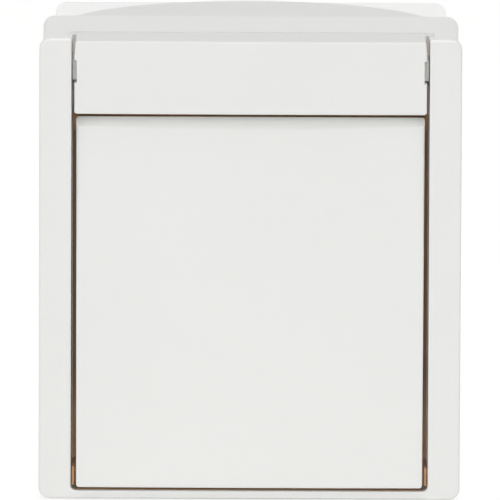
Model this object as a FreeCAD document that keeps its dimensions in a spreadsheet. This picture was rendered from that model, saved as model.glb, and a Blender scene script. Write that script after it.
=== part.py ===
import FreeCAD, Part
import math
import os
from types import SimpleNamespace

import Sketcher
from FreeCAD import Placement, Rotation, Vector

# Surface-mounted weatherproof rocker switch. Lengths are millimetres and angles degrees.
# X runs to the right, Z up and Y back to the wall, which is the plane Y = 0.
# A "rise" is a distance from the wall towards the front, so it is -Y.
SIZES = {
    # Cover frame
    "frame_width": 74.0,
    "frame_height": 81.8,
    "frame_rise": 51.0,
    "frame_depth": 29.0,
    "frame_corner": 2.0,
    "plate_thickness": 2.2,
    "plate_round": 0.45,
    "plate_lip": 0.7,
    "plate_lip_bottom": 0.2,
    "wall_flare": 0.4,
    "side_strip": 5.65,
    "bottom_bar": 1.5,
    "well_depth": 11.5,
    "well_corner": 0.8,
    "well_floor": 2.0,
    "well_round": 0.3,
    "groove_setback": 1.0,
    "rebate_width": 0.75,
    "rebate_drop": 0.36,
    "rebate_back": 0.5,
    "ledge_width": 2.4,
    "floor_opening_width": 31.0,
    "floor_opening_height": 13.6,
    # Arched tongue of the top wall, lying in a recess of the box
    "tongue_inset": 6.3,
    "tongue_setback": 1.5,
    "tongue_thickness": 1.45,
    "tongue_droop": 0.3,
    "tongue_gap": 0.2,
    # Rear box
    "box_inset_side": 2.0,
    "box_inset_end": 0.9,
    "box_draft": 0.2,
    "box_corner": 2.0,
    "box_wall": 2.6,
    "box_back": 2.4,
    "shoulder_width": 1.0,
    "rim_height": 4.0,
    "rim_gap": 0.25,
    "fixing_pitch": 60.0,
    "fixing_radius": 2.25,
    "fixing_collar_radius": 5.0,
    "fixing_collar_height": 1.2,
    "knockout_height": 15.0,
    "knockout_radius": 10.0,
    "knockout_groove": 0.8,
    "knockout_depth": 1.2,
    # Cable entries in the bottom wall, closed by grommets
    "entry_offset": 11.0,
    "entry_radius": 7.0,
    "grommet_gap": 0.1,
    "grommet_flange": 1.2,
    "grommet_plate": 0.9,
    "grommet_inner_flange": 0.8,
    "grommet_step": 0.3,
    "grommet_wall": 1.3,
    "grommet_lip": 0.7,
    "grommet_lip_slope": 0.2,
    # Gasket and cover screws
    "gasket_thickness": 2.0,
    "gasket_inset": 0.25,
    "screw_inset_side": 6.4,
    "screw_inset_end": 4.6,
    "post_radius": 3.4,
    "cover_screw_radius": 1.55,
    "cover_screw_head": 2.8,
    "cover_screw_head_height": 2.0,
    "cover_screw_length": 15.0,
    "screw_clearance": 0.25,
    "thread_clearance": 0.05,
    "screw_end_room": 1.0,
    "drive_width": 0.8,
    "drive_share": 0.62,
    "drive_depth": 1.1,
    "seal_radius": 3.0,
    "seal_thickness": 1.0,
    # Cover strip
    "strip_height": 12.95,
    "strip_side_gap": 0.475,
    "strip_drop": 0.45,
    "strip_wall": 1.6,
    "strip_crown": 0.25,
    "strip_corner": 0.5,
    "strip_lead": 0.2,
    "strip_lead_height": 2.6,
    "strip_round": 0.35,
    "strip_seat_gap": 0.25,
    "strip_hook_inset": 2.7,
    "strip_hook_gap": 0.1,
    "strip_hook_drop": 0.15,
    "strip_hook_thickness": 0.7,
    "notch_drop": 5.9,
    "notch_height": 4.0,
    "notch_depth": 0.45,
    "tab_recess": 2.8,
    "tab_gap": 0.15,
    "tab_margin": 0.2,
    # Rocker
    "rocker_side_gap_top": 0.82,
    "rocker_side_gap_bottom": 0.95,
    "rocker_depth": 5.5,
    "rocker_wall": 2.0,
    "rocker_crown": 0.35,
    "rocker_bevel_height": 2.2,
    "rocker_bevel_depth": 2.0,
    "rocker_bevel_radius": 3.2,
    "rocker_top_draft": 0.6,
    "rocker_corner": 0.5,
    "rocker_round": 0.35,
    "rocker_bottom_gap": 0.4,
    "rocker_strip_gap": 1.0,
    "rib_spread": 21.0,
    "rib_thickness": 1.2,
    "rib_height": 1.4,
    "collar_wall": 1.3,
    "collar_fit": 0.1,
    "collar_height": 1.7,
    # Pivot of the rocker and its carrier
    "pivot_depth": 8.0,
    "half_tilt": 1.9,
    "pin_radius": 1.5,
    "pin_clearance": 0.05,
    "carrier_half_width": 8.6,
    "carrier_half_height": 4.2,
    "carrier_front": 2.2,
    "carrier_back": 4.0,
    "neck_half_width": 6.0,
    "neck_half_height": 3.0,
    "neck_end_gap": 0.15,
    "sleeve_radius": 3.2,
    "sleeve_end": 12.0,
    "bore_radius": 2.1,
    "bore_end": 3.0,
    # Plunger and detent spring
    "plunger_clearance": 0.05,
    "plunger_head": 7.0,
    "plunger_shoulder": 13.5,
    "plunger_tip_radius": 0.8,
    "plunger_gap": 0.2,
    "spring_radius": 1.5,
    "spring_wire": 0.25,
    "spring_pitch": 0.9,
    "spring_end_gap": 0.05,
    # Sealing diaphragm
    "diaphragm_thickness": 1.0,
    "diaphragm_edge_gap": 0.15,
    "diaphragm_screw_gap": 0.3,
    "diaphragm_lip_gap": 0.1,
    "diaphragm_lip_thickness": 0.45,
    "buffer_height": 3.9,
    "buffer_gap": 0.3,
    "hood_half_width": 17.0,
    "hood_half_height": 8.2,
    "hood_corner": 2.0,
    "hood_top_gap": 0.3,
    "hood_lip_gap": 0.3,
    # Insert
    "insert_half_width": 22.0,
    "insert_half_height": 22.0,
    "insert_corner": 1.5,
    "base_depth": 15.0,
    "chamber_half_width": 6.0,
    "chamber_half_height": 13.0,
    "channel_gap": 0.2,
    "cover_half_height": 13.4,
    "cover_thickness": 2.5,
    "cover_opening_gap": 2.2,
    "ear_gap": 0.4,
    "ear_thickness": 3.0,
    "ear_height": 8.5,
    "ear_round": 2.2,
    "ear_foot": 3.2,
    "insert_screw_offset": 18.5,
    "insert_screw_radius": 1.5,
    "insert_screw_head": 2.9,
    "insert_screw_head_height": 1.8,
    "insert_screw_reach": 8.0,
    "insert_boss_radius": 4.0,
    # Contacts
    "seesaw_drop": 17.0,
    "seesaw_half_tilt": 8.55,
    "seesaw_half_length": 11.0,
    "seesaw_half_width": 2.6,
    "sheet_thickness": 0.8,
    "rivet_radius": 1.3,
    "rivet_height": 0.7,
    "contact_arm": 9.3,
    "contact_gap": 0.05,
    "strip_half_width": 2.5,
    "strip_inner_end": 7.5,
    "strip_outer_end": 21.0,
    "common_offset": 11.0,
    "knife_half_width": 2.0,
    "knife_foot": 1.0,
    "knife_edge": 0.15,
    "knife_gap": 0.05,
    # Terminal clamps
    "clamp_offset": 18.0,
    "clamp_half_width": 3.5,
    "clamp_half_height": 2.9,
    "clamp_depth": 7.5,
    "wire_radius": 1.6,
    "wire_centre": 2.4,
    "terminal_screw_radius": 1.2,
    "terminal_screw_head": 2.0,
    "terminal_screw_head_height": 1.2,
    "terminal_screw_length": 3.6,
    # How far an outline that only cuts runs past the material
    "cut_margin": 1.0,
}


class Size:
    """A number together with the spreadsheet expression that gives it."""

    def __init__(self, value, text):
        self.value = value
        self.text = text

    def __add__(self, other):
        other = as_size(other)
        return Size(self.value + other.value, f"({self.text} + {other.text})")

    def __radd__(self, other):
        return as_size(other) + self

    def __sub__(self, other):
        other = as_size(other)
        return Size(self.value - other.value, f"({self.text} - {other.text})")

    def __rsub__(self, other):
        return as_size(other) - self

    def __mul__(self, other):
        other = as_size(other)
        return Size(self.value * other.value, f"({self.text} * {other.text})")

    def __rmul__(self, other):
        return as_size(other) * self

    def __truediv__(self, other):
        other = as_size(other)
        return Size(self.value / other.value, f"({self.text} / {other.text})")

    def __neg__(self):
        return Size(-self.value, f"(-1 * {self.text})")


def as_size(number):
    if isinstance(number, Size):
        return number
    return Size(float(number), f"({float(number)})")


def sine(angle):
    return Size(math.sin(math.radians(angle.value)), f"sin({angle.text})")


def cosine(angle):
    return Size(math.cos(math.radians(angle.value)), f"cos({angle.text})")


doc = FreeCAD.newDocument("weatherproof_switch")
sheet = doc.addObject("Spreadsheet::Sheet", "Sizes")
for row, (name, number) in enumerate(SIZES.items(), start=1):
    sheet.set(f"A{row}", name)
    sheet.set(f"B{row}", str(number))
    sheet.setAlias(f"B{row}", name)
doc.recompute()
S = SimpleNamespace(**{name: Size(number, f"Sizes.{name}") for name, number in SIZES.items()})

FRONT = "XZ_Plane"  # sketch X is X, sketch Y is Z, and a pad grows towards the front
SIDE = "YZ_Plane"  # sketch X is Y, sketch Y is Z, and a pad grows to the right
TOP = "XY_Plane"  # sketch X is X, sketch Y is Y, and a pad grows upwards
SIDES = (-1, 1)
CORNERS = ((-1, -1), (1, -1), (-1, 1), (1, 1))
NEAR = 0.001  # points this close to a plane count as lying on it

# Positions that several pieces share
half_width = S.frame_width / 2
half_height = S.frame_height / 2
plate_rise = S.frame_rise - S.plate_thickness
wall_rise = S.frame_rise - S.frame_depth
wall_top = half_height - S.plate_lip + S.wall_flare
floor_front = S.frame_rise - S.well_depth
floor_back = floor_front - S.well_floor
well_half = half_width - S.side_strip
well_bottom = S.bottom_bar - half_height
box_half_width = half_width - S.box_inset_side
box_half_height = half_height - S.box_inset_end
inner_half_width = box_half_width - S.box_wall
inner_half_height = box_half_height - S.box_wall
cavity_half_width = box_half_width - S.shoulder_width
cavity_half_height = box_half_height - S.shoulder_width
rim_rise = wall_rise + S.rim_height
ledge_rise = rim_rise + S.gasket_thickness
tongue_bottom = wall_top - S.tongue_thickness
tongue_half = half_width - S.tongue_inset
tongue_reach = wall_rise - S.tongue_setback
entry_rise = wall_rise / 2

strip_top = half_height - S.strip_drop
strip_bottom = strip_top - S.strip_height
strip_half = well_half - S.strip_side_gap
rocker_top = strip_bottom - S.rocker_strip_gap
rocker_bottom = well_bottom + S.rocker_bottom_gap
rocker_half = (rocker_top - rocker_bottom) / 2
notch_centre = half_height - S.notch_drop
notch_low = notch_centre - S.notch_height / 2
notch_high = notch_centre + S.notch_height / 2
pivot_rise = S.frame_rise - S.pivot_depth
pivot_z = (rocker_top + rocker_bottom) / 2
panel_back = S.pivot_depth - S.rocker_crown - S.rocker_wall
rocker_rear = S.pivot_depth - S.rocker_depth
buffer_rise = pivot_rise + rocker_rear - rocker_half * sine(S.half_tilt) - S.buffer_gap
groove_half = well_half - S.well_corner
groove_bottom = well_bottom - S.diaphragm_lip_thickness - S.diaphragm_lip_gap
groove_rise = S.frame_rise - S.groove_setback

insert_front = pivot_rise - S.ear_height
base_front = insert_front - S.cover_thickness
base_back = base_front - S.base_depth
ear_inner = S.carrier_half_width + S.ear_gap
ear_outer = ear_inner + S.ear_thickness
hood_inner_top = pivot_rise + S.ear_round + S.hood_top_gap

seesaw_rise = pivot_rise - S.seesaw_drop
fixed_top = (
    seesaw_rise
    - S.rivet_height * cosine(S.seesaw_half_tilt)
    - (S.contact_arm + S.rivet_radius) * sine(S.seesaw_half_tilt)
    - S.contact_gap
)
contact_front = fixed_top - S.rivet_height
chamber_floor = contact_front - S.sheet_thickness
clamp_front = contact_front + S.clamp_depth
cover_screw_x = inner_half_width - S.screw_inset_side
cover_screw_z = inner_half_height - S.screw_inset_end
cover_screw_places = [(right * cover_screw_x, up * cover_screw_z) for right, up in CORNERS]
insert_screw_places = [(side * S.insert_screw_offset, pivot_z) for side in SIDES]
clamp_places = {
    "terminal_clamp_upper": (as_size(0), pivot_z + S.clamp_offset),
    "terminal_clamp_lower": (as_size(0), pivot_z - S.clamp_offset),
    "terminal_clamp_common": (S.common_offset, pivot_z - S.clamp_offset),
}


def new_body(label):
    body = doc.addObject("PartDesign::Body", label)
    body.Label = label
    return body


def bind(item, name, size):
    item.setExpression(name, as_size(size).text)


def place(body, rise, z, x=0, angle=None):
    """Put the body's own origin at a place, turned about X by an angle where one is given."""
    if angle is not None:
        body.Placement = Placement(Vector(), Rotation(Vector(1, 0, 0), angle.value))
        bind(body, "Placement.Rotation.Angle", angle)
    bind(body, "Placement.Base.x", x)
    bind(body, "Placement.Base.y", -as_size(rise))
    bind(body, "Placement.Base.z", z)


def add_sketch(body, plane, offset=0):
    sketch = body.newObject("Sketcher::SketchObject", "Sketch")
    support = [item for item in body.Origin.OriginFeatures if item.Role == plane]
    sketch.AttachmentSupport = [(support[0], "")]
    sketch.MapMode = "FlatFace"
    bind(sketch, "AttachmentOffset.Base.z", offset)
    return sketch


def fix_point(sketch, geometry, position, x, y):
    """Tie a point of the sketch to its two distances from the origin."""
    for kind, distance in (("DistanceX", x), ("DistanceY", y)):
        link = Sketcher.Constraint(kind, -1, 1, geometry, position, distance.value)
        index = sketch.addConstraint(link)
        bind(sketch, f"Constraints[{index}]", distance)


def fix_radius(sketch, geometry, radius):
    index = sketch.addConstraint(Sketcher.Constraint("Radius", geometry, radius.value))
    bind(sketch, f"Constraints[{index}]", radius)


def circle(sketch, x, y, radius):
    x, y, radius = as_size(x), as_size(y), as_size(radius)
    ring = Part.Circle(Vector(x.value, y.value, 0), Vector(0, 0, 1), radius.value)
    geometry = sketch.addGeometry(ring, False)
    fix_point(sketch, geometry, 3, x, y)
    fix_radius(sketch, geometry, radius)


def add_arc(sketch, start, middle, end):
    """Add an arc and give its number and which of its ends lies at the start."""
    geometry = sketch.addGeometry(Part.Arc(start, middle, end).copy(), False)
    first = sketch.getPoint(geometry, 1)
    if first.distanceToPoint(start) < first.distanceToPoint(end):
        return geometry, 1, 2
    return geometry, 2, 1


def outline(sketch, corners, bow=None):
    """Draw a closed outline; a third entry of a corner rounds it, and a bow radius curves edge one."""
    points = [(as_size(corner[0]), as_size(corner[1])) for corner in corners]
    radii = [as_size(corner[2]) if len(corner) > 2 else None for corner in corners]
    spots = [Vector(x.value, y.value, 0) for x, y in points]
    count = len(spots)
    leave = list(spots)
    reach = list(spots)
    arcs = [None] * count
    for i, radius in enumerate(radii):
        if radius is None:
            continue
        back = (spots[i - 1] - spots[i]).normalize()
        ahead = (spots[(i + 1) % count] - spots[i]).normalize()
        half = back.getAngle(ahead) / 2
        reach[i] = spots[i] + back * (radius.value / math.tan(half))
        leave[i] = spots[i] + ahead * (radius.value / math.tan(half))
        inward = (back + ahead).normalize()
        middle = spots[i] + inward * (radius.value / math.sin(half) - radius.value)
        arcs[i] = add_arc(sketch, reach[i], middle, leave[i])
    edges = []
    for i in range(count):
        start, end = leave[i], reach[(i + 1) % count]
        if bow is not None and i == 0:
            chord = end - start
            rise = bow.value - math.sqrt(bow.value**2 - (chord.Length / 2) ** 2)
            side = Vector(-chord.y, chord.x, 0).normalize()
            edges.append(add_arc(sketch, start, (start + end) / 2 + side * rise, end))
            fix_radius(sketch, edges[0][0], bow)
        else:
            edges.append((sketch.addGeometry(Part.LineSegment(start, end), False), 1, 2))
    for i in range(count):
        before, after, arc = edges[i - 1], edges[i], arcs[i]
        if arc is None:
            sketch.addConstraint(
                Sketcher.Constraint("Coincident", before[0], before[2], after[0], after[1])
            )
            fix_point(sketch, after[0], after[1], *points[i])
            continue
        sketch.addConstraint(Sketcher.Constraint("Tangent", before[0], before[2], arc[0], arc[1]))
        sketch.addConstraint(Sketcher.Constraint("Tangent", arc[0], arc[2], after[0], after[1]))
        fix_radius(sketch, arc[0], radii[i])
        mark = sketch.addGeometry(Part.Point(spots[i]), True)
        fix_point(sketch, mark, 1, *points[i])
        for edge in (before, after):
            sketch.addConstraint(Sketcher.Constraint("PointOnObject", mark, 1, edge[0]))


def rectangle(left, right, bottom, top, corner=None):
    rounding = () if corner is None else (corner,)
    return [
        (left, bottom, *rounding),
        (right, bottom, *rounding),
        (right, top, *rounding),
        (left, top, *rounding),
    ]


def centred(half_x, half_y, corner=None, y=0):
    return rectangle(-half_x, half_x, y - half_y, y + half_y, corner)


def pad(body, sketch, length, both=False):
    feature = body.newObject("PartDesign::Pad", "Pad")
    feature.Profile = sketch
    if both:
        feature.SideType = "Symmetric"
    bind(feature, "Length", length)
    return feature


def pocket(body, sketch, length, ahead=False, both=False):
    """Cut against the sketch's normal, or along it where ahead is set."""
    feature = body.newObject("PartDesign::Pocket", "Pocket")
    feature.Profile = sketch
    feature.Reversed = ahead
    if both:
        feature.SideType = "Symmetric"
    bind(feature, "Length", length)
    return feature


def loft(body, first, second):
    feature = body.newObject("PartDesign::AdditiveLoft", "Loft")
    feature.Profile = first
    feature.Sections = [second]
    feature.Ruled = True
    return feature


def revolve(body, sketch):
    feature = body.newObject("PartDesign::Revolution", "Revolution")
    feature.Profile = sketch
    feature.ReferenceAxis = (sketch, ["V_Axis"])
    feature.Angle = 360
    return feature


def round_edges(body, radius, wanted):
    """Fillet the edges of the body for which the test of two ends and the middle holds."""
    doc.recompute()
    solid = body.Tip
    names = []
    for number, edge in enumerate(solid.Shape.Edges, start=1):
        middle = edge.valueAt((edge.FirstParameter + edge.LastParameter) / 2)
        if all(wanted(point) for point in (edge.firstVertex().Point, middle, edge.lastVertex().Point)):
            names.append(f"Edge{number}")
    feature = body.newObject("PartDesign::Fillet", "Fillet")
    feature.Base = (solid, names)
    bind(feature, "Radius", radius)
    return feature


def bow_radius(half_chord, height):
    return (half_chord * half_chord + height * height) / (2 * height)


def crown_cut(body, half_span, front, crown):
    """Trim the front of a body to a shallow cylinder, crowned in the middle of its width."""
    span = half_span + S.strip_side_gap
    ends = crown - front
    outside = -front - S.cut_margin
    sketch = add_sketch(body, TOP)
    corners = [(span, ends), (-span, ends), (-span, outside), (span, outside)]
    outline(sketch, corners, bow_radius(span, crown))
    pocket(body, sketch, S.frame_height * 2, both=True)


def screw_set(label, places, seat, shank_radius, shank_length, head_radius, head_height):
    """Screws in a group, their heads on a plane at one rise, each with a cross recess."""
    body = new_body(label)
    shanks = add_sketch(body, FRONT, seat - shank_length)
    heads = add_sketch(body, FRONT, seat)
    for x, z in places:
        circle(shanks, x, z, shank_radius)
        circle(heads, x, z, head_radius)
    pad(body, shanks, shank_length)
    pad(body, heads, head_height)
    bar = S.drive_width / 2
    arm = head_radius * S.drive_share
    drive = add_sketch(body, FRONT, seat + head_height)
    for x, z in places:
        corners = [
            (x - arm, z - bar), (x - bar, z - bar), (x - bar, z - arm), (x + bar, z - arm),
            (x + bar, z - bar), (x + arm, z - bar), (x + arm, z + bar), (x + bar, z + bar),
            (x + bar, z + arm), (x - bar, z + arm), (x - bar, z + bar), (x - arm, z + bar),
        ]
        outline(drive, corners)
    pocket(body, drive, S.drive_depth)
    return body


def build_cover_frame():
    body = new_body("cover_frame")
    wall_side = half_width - S.plate_lip
    wall_bottom = S.plate_lip_bottom - half_height
    rear = add_sketch(body, FRONT, wall_rise)
    rear_side = wall_side + S.wall_flare
    outline(rear, rectangle(-rear_side, rear_side, wall_bottom, wall_top, S.frame_corner))
    front = add_sketch(body, FRONT, plate_rise)
    front_top = half_height - S.plate_lip
    outline(front, rectangle(-wall_side, wall_side, wall_bottom, front_top, S.frame_corner))
    loft(body, rear, front)
    plate = add_sketch(body, FRONT, plate_rise)
    outline(plate, centred(half_width, half_height, S.frame_corner))
    pad(body, plate, S.plate_thickness)
    limit = S.frame_rise.value - NEAR
    round_edges(body, S.plate_round, lambda point: -point.y > limit)

    tongue = add_sketch(body, SIDE)
    tip = -S.tongue_setback
    outline(tongue, [
        (-wall_rise, tongue_bottom),
        (tip, tongue_bottom),
        (tip, wall_top - S.tongue_droop),
        (-wall_rise, wall_top),
    ])
    pad(body, tongue, tongue_half * 2, both=True)
    arch = add_sketch(body, TOP)
    half = tongue_half
    outside = half + S.cut_margin
    behind = tip + S.cut_margin
    outline(arch, [
        (-half, -wall_rise), (half, -wall_rise), (outside, -wall_rise),
        (outside, behind), (-outside, behind), (-outside, -wall_rise),
    ], bow_radius(half, tongue_reach))
    pocket(body, arch, S.frame_height * 2, both=True)

    rim_space = add_sketch(body, FRONT, wall_rise)
    outline(rim_space, centred(cavity_half_width, cavity_half_height, S.box_corner))
    pocket(body, rim_space, S.rim_height + S.gasket_thickness, ahead=True)
    inside = add_sketch(body, FRONT, ledge_rise)
    outline(inside, centred(
        cavity_half_width - S.ledge_width, cavity_half_height - S.ledge_width, S.box_corner))
    pocket(body, inside, floor_back - ledge_rise, ahead=True)
    well = add_sketch(body, FRONT, S.frame_rise)
    outline(well, [
        (-well_half, well_bottom, S.well_corner), (well_half, well_bottom, S.well_corner),
        (well_half, half_height + S.cut_margin), (-well_half, half_height + S.cut_margin),
    ])
    pocket(body, well, S.well_depth)
    groove = add_sketch(body, FRONT, floor_front)
    outline(groove, rectangle(-groove_half, groove_half, groove_bottom, well_bottom))
    pocket(body, groove, groove_rise - floor_front, ahead=True)
    side = well_half.value + NEAR
    round_edges(body, S.well_round, lambda point: -point.y > limit and abs(point.x) < side)
    rebate = add_sketch(body, TOP, half_height - S.plate_lip - S.rebate_drop)
    rebate_half = well_half + S.rebate_width
    outline(rebate, rectangle(
        -rebate_half, rebate_half, -plate_rise, S.rebate_back - floor_front))
    pocket(body, rebate, S.plate_lip + S.wall_flare + S.rebate_drop, ahead=True)
    opening = add_sketch(body, FRONT, floor_front)
    outline(opening, centred(
        S.floor_opening_width / 2, S.floor_opening_height / 2, S.hood_corner, pivot_z))
    pocket(body, opening, S.well_floor)
    holes = add_sketch(body, FRONT, floor_front)
    for x, z in cover_screw_places:
        circle(holes, x, z, S.cover_screw_radius + S.screw_clearance)
    pocket(body, holes, S.well_floor)
    return body


def build_rear_box():
    body = new_body("rear_box")
    rear = add_sketch(body, FRONT)
    outline(rear, centred(
        box_half_width - S.box_draft, box_half_height - S.box_draft, S.box_corner))
    front = add_sketch(body, FRONT, wall_rise)
    outline(front, centred(box_half_width, box_half_height, S.box_corner))
    loft(body, rear, front)
    rim = add_sketch(body, FRONT, wall_rise)
    outline(rim, centred(
        cavity_half_width - S.rim_gap, cavity_half_height - S.rim_gap, S.box_corner))
    pad(body, rim, S.rim_height)
    cavity = add_sketch(body, FRONT, rim_rise)
    outline(cavity, centred(inner_half_width, inner_half_height, S.box_corner))
    pocket(body, cavity, rim_rise - S.box_back)

    posts = add_sketch(body, FRONT, S.box_back)
    bosses = add_sketch(body, FRONT, S.box_back)
    collars = add_sketch(body, FRONT, S.box_back)
    post_holes = add_sketch(body, FRONT, floor_back)
    boss_holes = add_sketch(body, FRONT, base_back)
    fixings = add_sketch(body, FRONT)
    for x, z in cover_screw_places:
        circle(posts, x, z, S.post_radius)
        circle(post_holes, x, z, S.cover_screw_radius + S.thread_clearance)
    for x, z in insert_screw_places:
        circle(bosses, x, z, S.insert_boss_radius)
        circle(boss_holes, x, z, S.insert_screw_radius + S.thread_clearance)
    for side in SIDES:
        circle(collars, 0, side * S.fixing_pitch / 2, S.fixing_collar_radius)
        circle(fixings, 0, side * S.fixing_pitch / 2, S.fixing_radius)
    pad(body, posts, floor_back - S.box_back)
    pad(body, bosses, base_back - S.box_back)
    pad(body, collars, S.fixing_collar_height)
    pocket(body, post_holes, S.cover_screw_length + S.screw_end_room - S.well_floor - S.seal_thickness)
    pocket(body, boss_holes, S.insert_screw_reach + S.screw_end_room)
    pocket(body, fixings, S.box_back + S.fixing_collar_height, ahead=True)
    groove = add_sketch(body, FRONT)
    circle(groove, 0, S.knockout_height, S.knockout_radius)
    circle(groove, 0, S.knockout_height, S.knockout_radius - S.knockout_groove)
    pocket(body, groove, S.knockout_depth, ahead=True)

    entries = add_sketch(body, TOP, -half_height)
    for side in SIDES:
        circle(entries, side * S.entry_offset, -entry_rise, S.entry_radius)
    pocket(body, entries, S.box_wall + S.box_inset_end, ahead=True)
    recess = add_sketch(body, TOP, tongue_bottom - S.tongue_gap)
    half = tongue_half + S.tongue_gap
    reach = tongue_reach + S.tongue_gap
    outline(recess, [
        (-half, -wall_rise), (half, -wall_rise),
        (half, -wall_rise - S.cut_margin), (-half, -wall_rise - S.cut_margin),
    ], bow_radius(half, reach))
    pocket(body, recess, S.tongue_thickness * 2, ahead=True)
    return body


def build_cable_grommets():
    """Two closed membrane grommets, buttoned into the bottom wall of the box."""
    outer = S.entry_radius + S.grommet_flange
    neck = S.entry_radius - S.grommet_gap
    slope = S.box_draft * (wall_rise - entry_rise) / wall_rise
    wall = S.box_wall - slope
    inner_top = wall + S.grommet_gap + S.grommet_inner_flange
    for side, label in zip(SIDES, ("cable_grommet_left", "cable_grommet_right")):
        body = new_body(label)
        profile = add_sketch(body, FRONT)
        outline(profile, [
            (0, S.grommet_step * 2 - S.grommet_plate),
            (outer / 3, S.grommet_step * 2 - S.grommet_plate),
            (outer / 3, S.grommet_step - S.grommet_plate),
            (outer * 2 / 3, S.grommet_step - S.grommet_plate),
            (outer * 2 / 3, -S.grommet_plate),
            (outer, -S.grommet_plate),
            (outer, -S.grommet_gap),
            (neck, -S.grommet_gap),
            (neck, wall + S.grommet_gap),
            (neck + S.grommet_lip, wall + S.grommet_gap),
            (neck + S.grommet_lip - S.grommet_lip_slope, inner_top),
            (neck - S.grommet_wall, inner_top),
            (neck - S.grommet_wall, S.grommet_plate),
            (0, S.grommet_plate),
        ])
        revolve(body, profile)
        place(body, entry_rise, slope - box_half_height, side * S.entry_offset)


def build_rim_gasket():
    body = new_body("rim_gasket")
    ring = add_sketch(body, FRONT, rim_rise)
    outline(ring, centred(
        cavity_half_width - S.gasket_inset, cavity_half_height - S.gasket_inset, S.box_corner))
    outline(ring, centred(inner_half_width, inner_half_height, S.box_corner))
    pad(body, ring, S.gasket_thickness)


def build_cover_strip():
    body = new_body("cover_strip")
    rear_rise = floor_front + S.diaphragm_thickness + S.strip_seat_gap
    depth = S.frame_rise - rear_rise
    block = add_sketch(body, FRONT, rear_rise)
    shoulder = strip_top - S.strip_lead_height
    lead_half = strip_half - S.strip_lead
    outline(block, [
        (-strip_half, strip_bottom, S.strip_corner), (strip_half, strip_bottom, S.strip_corner),
        (strip_half, shoulder), (lead_half, strip_top, S.strip_corner),
        (-lead_half, strip_top, S.strip_corner), (-strip_half, shoulder),
    ])
    pad(body, block, depth)
    crown_cut(body, strip_half, S.frame_rise, S.strip_crown)
    limit = (S.frame_rise - S.strip_crown).value
    round_edges(body, S.strip_round, lambda point: -point.y > limit)
    hollow = add_sketch(body, FRONT, rear_rise)
    inner = strip_half - S.strip_wall
    outline(hollow, rectangle(
        -inner, inner, strip_bottom + S.strip_wall, strip_top - S.strip_wall))
    pocket(body, hollow, depth - S.strip_crown - S.strip_wall, ahead=True)
    notches = add_sketch(body, FRONT, rear_rise)
    tabs = add_sketch(body, FRONT, rear_rise)
    cut = strip_half - S.notch_depth
    for side in SIDES:
        outline(notches, rectangle(side * cut, side * well_half, notch_low, notch_high))
        outline(tabs, rectangle(
            side * (cut - S.strip_wall / 2), side * (well_half - S.tab_gap),
            notch_low + S.tab_margin, notch_high - S.tab_margin))
    pocket(body, notches, depth, ahead=True)
    pad(body, tabs, depth - S.tab_recess)
    hook_rise = floor_front + S.strip_hook_gap
    hook_top = strip_top - S.strip_hook_drop
    hook = add_sketch(body, FRONT, hook_rise)
    outline(hook, rectangle(
        S.strip_hook_inset - strip_half, strip_half - S.strip_hook_inset,
        hook_top - S.strip_hook_thickness, hook_top))
    pad(body, hook, rear_rise - hook_rise)


def build_sealing_diaphragm():
    body = new_body("sealing_diaphragm")
    edge = well_half - S.diaphragm_edge_gap
    panel = add_sketch(body, FRONT, floor_front)
    outline(panel, rectangle(
        -edge, edge, well_bottom + S.diaphragm_edge_gap, notch_high, S.well_corner))
    pad(body, panel, S.diaphragm_thickness)
    buffers = add_sketch(body, FRONT, floor_front)
    buffer_low = well_bottom + S.diaphragm_edge_gap
    buffer_high = strip_bottom - S.diaphragm_edge_gap
    for low in (buffer_low, buffer_high - S.buffer_height):
        outline(buffers, rectangle(-edge, edge, low, low + S.buffer_height, S.well_corner))
    pad(body, buffers, buffer_rise - floor_front)
    foot = add_sketch(body, FRONT, floor_front)
    lip_half = groove_half - S.diaphragm_lip_gap
    lip_low = well_bottom - S.diaphragm_lip_thickness
    outline(foot, rectangle(-lip_half, lip_half, lip_low, buffer_low + S.diaphragm_thickness))
    pad(body, foot, S.diaphragm_thickness)
    upturn = add_sketch(body, FRONT, floor_front)
    outline(upturn, rectangle(-lip_half, lip_half, lip_low, well_bottom))
    for side in SIDES:
        outline(upturn, rectangle(
            side * (edge - S.diaphragm_lip_thickness), side * edge,
            well_bottom + S.well_corner, buffer_low + S.buffer_height))
    pad(body, upturn, groove_rise - S.diaphragm_lip_gap - floor_front)
    hood = add_sketch(body, FRONT, floor_front)
    outline(hood, centred(S.hood_half_width, S.hood_half_height, S.hood_corner, pivot_z))
    pad(body, hood, hood_inner_top + S.diaphragm_thickness - floor_front)
    inside = add_sketch(body, FRONT, floor_front)
    outline(inside, centred(
        S.hood_half_width - S.diaphragm_thickness, S.hood_half_height - S.diaphragm_thickness,
        S.hood_corner / 2, pivot_z))
    pocket(body, inside, hood_inner_top - floor_front, ahead=True)
    lip = add_sketch(body, FRONT, hood_inner_top)
    swing = (hood_inner_top + S.diaphragm_thickness - pivot_rise) * sine(S.half_tilt)
    outline(lip, centred(
        S.neck_half_width + S.hood_lip_gap, S.neck_half_height + S.hood_lip_gap + swing, None, pivot_z))
    pocket(body, lip, S.diaphragm_thickness, ahead=True)
    holes = add_sketch(body, FRONT, floor_front)
    for x, z in cover_screw_places:
        circle(holes, x, z, S.seal_radius + S.diaphragm_screw_gap)
    pocket(body, holes, buffer_rise - floor_front, ahead=True)


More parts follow.
